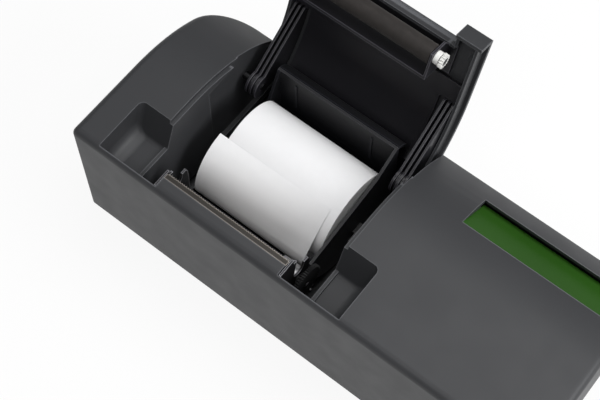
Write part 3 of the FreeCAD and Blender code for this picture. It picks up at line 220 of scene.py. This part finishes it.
def paint_edge_highlight(material, light):
    """Painted highlight along outward edges: a paler line where a ray sent into the wall soon comes out
    again.
    """
    probe = add(material, "ShaderNodeAmbientOcclusion", Distance=EDGE_HIGHLIGHT_REACH)
    probe.inside = True
    probe.samples = EDGE_HIGHLIGHT_SAMPLES
    share = add(material, "ShaderNodeMapRange", From_Min=EDGE_HIGHLIGHT_START, From_Max=EDGE_HIGHLIGHT_FULL, To_Max=EDGE_HIGHLIGHT_STRENGTH)
    join(material, probe.outputs["AO"], share.inputs["Value"])
    blend = add(material, "ShaderNodeMixRGB", Color2=(*light, 1.0))
    target = shader_of(material).inputs["Base Color"]
    join(material, share.outputs["Result"], blend.inputs["Fac"])
    join(material, target.links[0].from_socket, blend.inputs["Color1"])
    join(material, blend.outputs["Color"], target)


def shade(color, factor):
    return tuple(channel * factor for channel in color)


# Finishes

def moulded(name, color, roughness, grain, relief, specular=0.4, edge_highlight=0.0):
    """Moulded plastic: fine spark-eroded grain, faint clouding of colour and gloss."""
    material = new_material(name, color, roughness, specular=specular)
    tint(material, noise(material, scale=24.0, detail=3.0), shade(color, 0.97), shade(color, 1.03))
    vary_roughness(material, noise(material, scale=60.0), roughness - 0.03, roughness + 0.03)
    bump(material, noise(material, scale=grain, detail=1.0), height=relief, strength=0.35)
    # Painted highlight along outward edges, paler than the body colour by the given factor
    if edge_highlight:
        paint_edge_highlight(material, shade(color, edge_highlight))
    return material


def metal(name, color, roughness, stretch, edge_highlight=0.0):
    """Sheet or bar metal with a drawn grain along one direction."""
    material = new_material(name, color, roughness, metallic=1.0)
    grain = noise(material, scale=900.0, stretch=stretch)
    tint(material, grain, shade(color, 0.86), shade(color, 1.1))
    vary_roughness(material, grain, roughness - 0.08, roughness + 0.1)
    bump(material, grain, height=0.02 * MM, strength=0.3)
    # Painted highlight along outward edges, paler than the body colour by the given factor
    if edge_highlight:
        paint_edge_highlight(material, shade(color, edge_highlight))
    return material


def rubber(name, color, roughness):
    """Matt rubber with a little dust."""
    material = new_material(name, color, roughness, specular=0.35)
    tint(material, noise(material, scale=300.0, detail=3.0), shade(color, 0.85), shade(color, 1.2))
    bump(material, noise(material, scale=2500.0), height=0.04 * MM, strength=0.4)
    return material


def thermal_paper(name, color):
    """Nearly even white with a faint fibre cloud."""
    material = new_material(name, color, roughness=0.62, specular=0.3)
    tint(material, noise(material, scale=160.0, detail=4.0), shade(color, 0.985), color)
    bump(material, noise(material, scale=1800.0, detail=3.0), height=0.01 * MM, strength=0.25)
    return material


def vector_step(material, operation, source, value=None):
    """Vector operation on a source, with a constant second value where it takes one."""
    node = add(material, "ShaderNodeVectorMath")
    node.operation = operation
    if value is not None:
        node.inputs[1].default_value = value
    join(material, source, node.inputs[0])
    return node


def roll_end(name, color):
    """End face of the roll: the turns show as fine uneven rings about the roll's axis."""
    material = new_material(name, color, roughness=0.75, specular=0.25)
    from_axis = vector_step(material, "SUBTRACT", surface_point(material), AXIS_AT["roll_spin"])
    in_face = vector_step(material, "MULTIPLY", from_axis.outputs["Vector"], (0.0, 1.0, 1.0))
    radius = vector_step(material, "LENGTH", in_face.outputs["Vector"])
    rings = add(material, "ShaderNodeTexNoise", Scale=2600.0, Detail=2.0)
    rings.noise_dimensions = "1D"
    join(material, radius.outputs["Value"], rings.inputs["W"])
    tint(material, rings.outputs["Fac"], shade(color, 0.82), color)
    bump(material, rings.outputs["Fac"], height=0.05 * MM, strength=0.5)
    return material


def lens_filter(name, color):
    """Tinted display filter: deep, even colour that hardly reflects."""
    material = new_material(name, color, roughness=0.42, specular=0.04)
    tint(material, noise(material, scale=14.0), shade(color, 0.92), shade(color, 1.06))
    bump(material, noise(material, scale=90.0, detail=1.0), height=0.01 * MM, strength=0.1)
    return material


def circuit_board(name, mask, mask_light, trace):
    """Solder mask with the paler traces that show through it."""
    material = new_material(name, mask, roughness=0.38)
    colors = {"Color1": (*mask, 1.0), "Color2": (*mask_light, 1.0), "Mortar": (*trace, 1.0)}
    traces = add(material, "ShaderNodeTexBrick", Scale=420.0, **colors)
    join(material, surface_point(material), traces.inputs["Vector"])
    join(material, traces.outputs["Color"], shader_of(material).inputs["Base Color"])
    bump(material, noise(material, scale=700.0, detail=1.0), height=0.02 * MM, strength=0.2)
    return material


# Drawn grain of sheet metal and of bars, both along the printer's width
SHEET_GRAIN = (0.15, 1.0, 1.0)
BAR_GRAIN = (0.1, 1.0, 1.0)

# Finishes given an edge factor get a painted highlight along their outward edges
FINISH = {
    "casing": moulded(
        "casing_grey", (0.036, 0.037, 0.040), 0.48, grain=3200.0, relief=0.03 * MM, specular=0.3, edge_highlight=3.4),
    "lid": moulded(
        "lid_black", (0.0135, 0.0132, 0.0158), 0.36, grain=2600.0, relief=0.015 * MM, edge_highlight=8.0),
    "liner": moulded("liner_black", (0.0098, 0.0094, 0.0122), 0.42, grain=2600.0, relief=0.015 * MM),
    "bucket": moulded(
        "bucket_black", (0.0066, 0.0068, 0.0084), 0.42, grain=2600.0, relief=0.015 * MM, edge_highlight=4.0),
    "dark": moulded("part_black", (0.010, 0.010, 0.011), 0.5, grain=2600.0, relief=0.02 * MM),
    "steel": metal("sheet_steel", (0.40, 0.40, 0.41), 0.36, SHEET_GRAIN),
    "frame_steel": metal("frame_steel", (0.030, 0.030, 0.032), 0.55, SHEET_GRAIN, edge_highlight=12.0),
    "black_steel": metal("black_steel", (0.045, 0.045, 0.047), 0.4, SHEET_GRAIN),
    "blade": metal("blade_steel", (0.050, 0.046, 0.042), 0.45, BAR_GRAIN, edge_highlight=7.0),
    "aluminium": metal("plain_aluminium", (0.62, 0.62, 0.63), 0.38, BAR_GRAIN),
    "ceramic": moulded("head_ceramic", (0.50, 0.43, 0.34), 0.3, grain=1500.0, relief=0.01 * MM),
    "gear": moulded(
        "gear_black", (0.008, 0.008, 0.0085), 0.55, grain=2600.0, relief=0.01 * MM, specular=0.25),
    "white": moulded("bushing_white", (0.74, 0.74, 0.72), 0.42, grain=2600.0, relief=0.01 * MM),
    "rubber": rubber("foot_rubber", (0.014, 0.014, 0.014), 0.8),
    "platen": rubber("platen_rubber", (0.020, 0.0170, 0.0155), 0.7),
    "paper": thermal_paper("roll_paper", (0.80, 0.80, 0.81)),
    "rings": roll_end("roll_end", (0.70, 0.70, 0.70)),
    "card": moulded("core_card", (0.33, 0.25, 0.17), 0.85, grain=900.0, relief=0.05 * MM),
    "board": circuit_board("board_green", (0.02, 0.11, 0.045), (0.025, 0.13, 0.05), (0.05, 0.22, 0.09)),
    "lens": lens_filter("lens_green", (0.021, 0.074, 0.009)),
}

# Nodes that keep their solid's shape: finish and width of the softened edge in millimetres
DRESS = {
    "top_housing": ("casing", 0.7), "base_plate": ("casing", 0.4), "rubber_feet": ("rubber", 0.0),
    "housing_screws": ("steel", 0.15), "hinge_pins": ("black_steel", 0.2), "paper_bucket": ("bucket", 0.35),
    "mech_frame": ("frame_steel", 0.15), "frame_screws": ("steel", 0.15), "tear_bar": ("blade", 0.0),
    "head_springs": ("steel", 0.0), "head_heatsink": ("aluminium", 0.15),
    "head_substrate": ("ceramic", 0.1), "head_pivot_shaft": ("steel", 0.2), "stepper_motor": ("steel", 0.3),
    "motor_shaft": ("steel", 0.1), "motor_pinion": ("gear", 0.0), "gear_axle": ("black_steel", 0.15),
    "reduction_gear": ("gear", 0.0), "display_module": ("dark", 0.3), "main_board": ("board", 0.0),
    "board_screws": ("steel", 0.15), "power_socket": ("dark", 0.2), "data_socket": ("steel", 0.15),
    "paper_sensor": ("dark", 0.3), "cover_switch": ("dark", 0.25), "lid_shell": ("casing", 0.35),
    "lid_liner": ("liner", 0.25), "platen_holder": ("lid", 0.25), "lid_screws": ("steel", 0.15),
    "hinge_arm_left": ("lid", 0.3), "hinge_arm_right": ("lid", 0.3), "platen_bushings": ("white", 0.25),
    "platen_shaft": ("steel", 0.2), "platen_roller": ("platen", 0.4), "platen_gear": ("white", 0.0),
}


# Mesh helpers

def linked_piece(name, mesh):
    piece = bpy.data.objects.new(name, mesh)
    bpy.context.collection.objects.link(piece)
    return piece


def mesh_piece(name, points, faces):
    mesh = bpy.data.meshes.new(name)
    mesh.from_pydata(points, [], faces)
    mesh.update()
    return linked_piece(name, mesh)


def prism(name, place, near, far):
    """Solid between two matching loops of points, drawn in the given frame."""
    count = len(near)
    points = [place @ Vector(point) for point in near + far]
    faces = [tuple(reversed(range(count))), tuple(range(count, 2 * count))]
    for k in range(count):
        follow = (k + 1) % count
        faces.append((k, follow, follow + count, k + count))
    return mesh_piece(name, points, faces)


def box(name, place, x_range, y_range, z_range):
    (x0, x1), (y0, y1) = x_range, y_range
    loops = [[(x0, y0, z), (x1, y0, z), (x1, y1, z), (x0, y1, z)] for z in z_range]
    return prism(name, place, *loops)


def apply_modifiers(piece):
    graph = bpy.context.evaluated_depsgraph_get()
    made = bpy.data.meshes.new_from_object(piece.evaluated_get(graph))
    piece.modifiers.clear()
    piece.data = made


def smooth(piece):
    """Smooth shading, broken at the sharp edges."""
    for face in piece.data.polygons:
        face.use_smooth = True
    piece.data.set_sharp_from_angle(angle=EDGE_ANGLE)


def finish_with(piece, material):
    piece.data.materials.clear()
    piece.data.materials.append(material)
    for face in piece.data.polygons:
        face.material_index = 0


# Trims of the solids, and the pieces that belong to them

def lens_loop(drop):
    """Corners of the display lens, lowered by drop."""
    corners = [
        (WINDOW_LEFT, *LENS_FRONT), (WINDOW_RIGHT, *LENS_FRONT),
        (WINDOW_RIGHT, *LENS_REAR), (WINDOW_LEFT, *LENS_REAR),
    ]
    return [(x, y, z - drop) for x, y, z in corners]


def window_room():
    """Open room from the lens's underside up through the deck."""
    low = lens_loop(LENS_THICK)
    return prism("window_room", DECK_PLACE, low, [(x, y, OVER) for x, y, z in low])


def lip_room():
    """What the lid's skin loses ahead of its lip."""
    return box("lip_room", LID_PLACE, (-LIP_HALF, LIP_HALF), (-OVER, LIP_FRONT), (-LIP_DEPTH, OVER))


def screen_room():
    """What the bucket's rear screen loses at its left end."""
    x_range = (-SOLID_SCREEN_LEFT - OVER, -SCREEN_LEFT)
    y_range = (SCREEN_CUT_FRONT, SCREEN_Y + OVER)
    return box("screen_room", DECK_PLACE, x_range, y_range, (GUSSET_LOW, 0.0))


TRIM = {"top_housing": window_room, "lid_shell": lip_room, "paper_bucket": screen_room}


def display_lens():
    lens = prism("display_lens_pane", DECK_PLACE, lens_loop(LENS_THICK), lens_loop(0.0))
    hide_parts("display_lens")
    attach(lens, BODY_OF["display_lens"])
    finish_with(lens, FINISH["lens"])


def lid_lip():
    y_range = (LIP_FRONT, LIP_FRONT + LIP_THICK)
    lip = box("lid_lip", LID_PLACE, (-LIP_HALF, LIP_HALF), y_range, (-LIP_DEPTH, LIP_TOP))
    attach(lip, BODY_OF["lid_shell"])
    finish_with(lip, FINISH["casing"])


def bucket_gusset():
    profile = [(GUSSET_FRONT, GUSSET_LOW), (SCREEN_Y, GUSSET_LOW), (SCREEN_Y, SCREEN_TOP)]
    near, far = ([(x, y, z) for y, z in profile] for x in (-SCREEN_LEFT, GUSSET_THICK - SCREEN_LEFT))
    gusset = prism("bucket_gusset", DECK_PLACE, near, far)
    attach(gusset, BODY_OF["paper_bucket"])
    finish_with(gusset, FINISH["bucket"])


# Pieces made from the solids

def softened(node, width):
    """Copy of a node's mesh, trimmed where TRIM says so, with its sharp edges rounded by width."""
    mesh = frame["nodes"][node].data.copy()
    mesh.name = node + "_soft"
    form = bmesh.new()
    form.from_mesh(mesh)
    bmesh.ops.remove_doubles(form, verts=form.verts, dist=WELD_REACH)
    bmesh.ops.dissolve_limit(form, angle_limit=FLAT_ANGLE, verts=form.verts, edges=form.edges)
    form.to_mesh(mesh)
    form.free()
    piece = linked_piece(node + "_soft", mesh)
    cutter = TRIM[node]() if node in TRIM else None
    if cutter:
        trim = piece.modifiers.new("trim", "BOOLEAN")
        trim.operation = "DIFFERENCE"
        trim.solver = "EXACT"
        trim.object = cutter
    rounding = piece.modifiers.new("edge", "BEVEL")
    rounding.width = width
    rounding.segments = EDGE_SEGMENTS
    rounding.limit_method = "ANGLE"
    rounding.angle_limit = EDGE_ANGLE
    rounding.miter_outer = "MITER_ARC"
    apply_modifiers(piece)
    if cutter:
        bpy.data.objects.remove(cutter)
    smooth(piece)
    evened = piece.modifiers.new("evened", "WEIGHTED_NORMAL")
    evened.keep_sharp = True
    apply_modifiers(piece)
    return piece


def dress_nodes():
    for node, (finish, width) in DRESS.items():
        if width:
            piece = softened(node, width * MM)
            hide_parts(node)
            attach(piece, BODY_OF[node])
            finish_with(piece, FINISH[finish])
        else:
            solid = frame["nodes"][node]
            for slot in solid.material_slots:
                slot.material = FINISH[finish]


# Paper

def turned(name, profile, steps):
    """Ring about the roll's axis: profile is (x, radius) points of its closed section."""
    axis = AXIS_AT["roll_spin"]
    points = []
    for step in range(steps):
        turn = 2 * math.pi * step / steps
        points += [axis + Vector((x, r * math.cos(turn), r * math.sin(turn))) for x, r in profile]
    count = len(profile)
    faces = []
    for step in range(steps):
        here = step * count
        after = (step + 1) % steps * count
        for k in range(count):
            follow = (k + 1) % count
            faces.append((here + k, here + follow, after + follow, after + k))
    return mesh_piece(name, points, faces)


def paper_roll():
    """Roll with soft rims and end faces that step a little where the turns shift."""
    half = PAPER_WIDTH / 2
    rim_radius = ROLL_RADIUS - ROLL_RIM
    band = (rim_radius - CORE_RADIUS) / BAND_COUNT
    right = []
    for k in range(BAND_COUNT + 1):
        shift = BAND_SHIFT * (1 + math.sin(BAND_WANDER * k))
        right.append((half - shift, rim_radius - k * band))
    left = [(-x, r) for x, r in reversed(right)]
    profile = [(-half + ROLL_RIM, ROLL_RADIUS), (half - ROLL_RIM, ROLL_RADIUS)] + right + left
    piece = turned("paper_roll_wound", profile, ROLL_STEPS)
    smooth(piece)
    piece.data.materials.append(FINISH["paper"])
    piece.data.materials.append(FINISH["rings"])
    for face in piece.data.polygons:
        face.material_index = 1 if abs(face.normal.x) > 0.5 else 0
    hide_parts("paper_roll")
    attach(piece, "paper")


def paper_core():
    """Card tube with soft rims."""
    half = PAPER_WIDTH / 2
    profile = [
        (-half, CORE_BORE + CORE_RIM), (-half, CORE_RADIUS - CORE_RIM), (-half + CORE_RIM, CORE_RADIUS),
        (half - CORE_RIM, CORE_RADIUS), (half, CORE_RADIUS - CORE_RIM), (half, CORE_BORE + CORE_RIM),
        (half - CORE_RIM, CORE_BORE), (CORE_RIM - half, CORE_BORE),
    ]
    piece = turned("paper_core_tube", profile, CORE_STEPS)
    smooth(piece)
    piece.data.materials.append(FINISH["card"])
    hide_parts("paper_core")
    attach(piece, "paper")


def smooth_row(values, parts):
    """Catmull-Rom samples through the values, parts to each span."""
    row = []
    last = len(values) - 1
    for k in range(last):
        a, b, c, d = (values[min(max(k + j, 0), last)] for j in (-1, 0, 1, 2))
        for part in range(parts):
            t = part / parts
            row.append(0.5 * (2 * b + (c - a) * t + (2 * a - 5 * b + 4 * c - d) * t * t
                              + (3 * b - a - 3 * c + d) * t ** 3))
    row.append(values[last])
    return row


def tail_rows():
    """Points of the loose turn, in rows that run straight from its left to its right edge."""
    axis = AXIS_AT["roll_spin"]
    turns, lefts, rights = (smooth_row(column, TAIL_PARTS) for column in zip(*TAIL_STAGES))
    rows = []
    for turn, left, right in zip(turns, lefts, rights):
        angle = math.radians(turn)
        row = []
        for k in range(TAIL_ACROSS + 1):
            share = k / TAIL_ACROSS
            radius = (left + (right - left) * share) * MM
            x = PAPER_WIDTH * (share - 0.5) - TAIL_SHIFT
            row.append(axis + Vector((x, radius * math.cos(angle), radius * math.sin(angle))))
        rows.append(row)
    return rows


def paper_tail():
    """Sheet ruled between its two edges, given the paper's thickness."""
    rows = tail_rows()
    width = TAIL_ACROSS + 1
    faces = []
    for row in range(len(rows) - 1):
        for k in range(TAIL_ACROSS):
            corner = row * width + k
            faces.append((corner, corner + 1, corner + width + 1, corner + width))
    piece = mesh_piece("paper_tail_sheet", [point for row in rows for point in row], faces)
    thick = piece.modifiers.new("paper", "SOLIDIFY")
    thick.thickness = TAIL_THICK
    thick.offset = 0.0
    apply_modifiers(piece)
    smooth(piece)
    finish_with(piece, FINISH["paper"])
    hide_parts("paper_tail")
    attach(piece, "housing")


# Room

def either_ray(tree, *kinds):
    """1 for a ray of one of the two kinds, else 0."""
    path = tree.nodes.new("ShaderNodeLightPath")
    either = tree.nodes.new("ShaderNodeMath")
    either.operation = "MAXIMUM"
    for kind, socket in zip(kinds, either.inputs):
        tree.links.new(path.outputs[kind], socket)
    return either.outputs["Value"]


def studio_white(name, color, glow):
    """Pale surface that shows white to the camera and in reflections, and still takes the shadow."""
    material = bpy.data.materials.new(name)
    material.use_nodes = True
    tree = material.node_tree
    tree.nodes.clear()
    output = tree.nodes.new("ShaderNodeOutputMaterial")
    mix = tree.nodes.new("ShaderNodeMixShader")
    diffuse = tree.nodes.new("ShaderNodeBsdfDiffuse")
    diffuse.inputs["Color"].default_value = (*color, 1.0)
    light = tree.nodes.new("ShaderNodeEmission")
    share = tree.nodes.new("ShaderNodeMath")
    share.operation = "MULTIPLY"
    share.inputs[1].default_value = glow
    tree.links.new(either_ray(tree, "Is Camera Ray", "Is Glossy Ray"), share.inputs[0])
    tree.links.new(share.outputs["Value"], mix.inputs["Fac"])
    tree.links.new(diffuse.outputs["BSDF"], mix.inputs[1])
    tree.links.new(light.outputs["Emission"], mix.inputs[2])
    tree.links.new(mix.outputs["Shader"], output.inputs["Surface"])
    return material


def floor():
    low, high = -FLOOR_REACH, FLOOR_REACH
    corners = [(low, low, 0.0), (high, low, 0.0), (high, high, 0.0), (low, high, 0.0)]
    ground = mesh_piece("floor", corners, [(0, 1, 2, 3)])
    ground.data.materials.append(studio_white("floor_white", FLOOR_COLOR, FLOOR_GLOW))


def sky():
    """White to the camera, and a weak even light to everything else."""
    world = bpy.data.worlds.new("studio")
    bpy.context.scene.world = world
    world.use_nodes = True
    tree = world.node_tree
    background = tree.nodes["Background"]
    background.inputs["Color"].default_value = (1.0, 1.0, 1.0, 1.0)
    level = tree.nodes.new("ShaderNodeMapRange")
    level.inputs["To Min"].default_value = AMBIENT
    tree.links.new(either_ray(tree, "Is Camera Ray", "Is Transmission Ray"), level.inputs["Value"])
    tree.links.new(level.outputs["Result"], background.inputs["Strength"])


def lights():
    for name, place, width, height, power in SOFT_BOXES:
        lamp = bpy.data.lights.new(name, "AREA")
        lamp.shape = "RECTANGLE"
        lamp.size = width
        lamp.size_y = height
        lamp.energy = power
        holder = linked_piece(name, lamp)
        holder.location = place
        holder.rotation_euler = (LIGHT_AIM - Vector(place)).to_track_quat("-Z", "Y").to_euler()


def camera():
    back = Vector((
        math.sin(CAMERA_AZIMUTH) * math.cos(CAMERA_ELEVATION),
        -math.cos(CAMERA_AZIMUTH) * math.cos(CAMERA_ELEVATION),
        math.sin(CAMERA_ELEVATION),
    ))
    level = Vector((math.cos(CAMERA_AZIMUTH), math.sin(CAMERA_AZIMUTH), 0.0))
    right = level * math.cos(CAMERA_ROLL) + back.cross(level) * math.sin(CAMERA_ROLL)
    upward = back.cross(right)
    data = bpy.data.cameras.new("camera")
    data.lens = CAMERA_LENS
    data.sensor_width = SENSOR_WIDTH
    data.clip_start = CLIP_START
    eye = linked_piece("camera", data)
    turn = Matrix((right, upward, back)).transposed().to_4x4()
    eye.matrix_world = Matrix.Translation(CAMERA_AIM + back * CAMERA_DISTANCE) @ turn
    bpy.context.scene.camera = eye
    bpy.context.scene.view_settings.view_transform = "Standard"


dress_nodes()
display_lens()
lid_lip()
bucket_gusset()
paper_roll()
paper_core()
paper_tail()
floor()
sky()
lights()
camera()
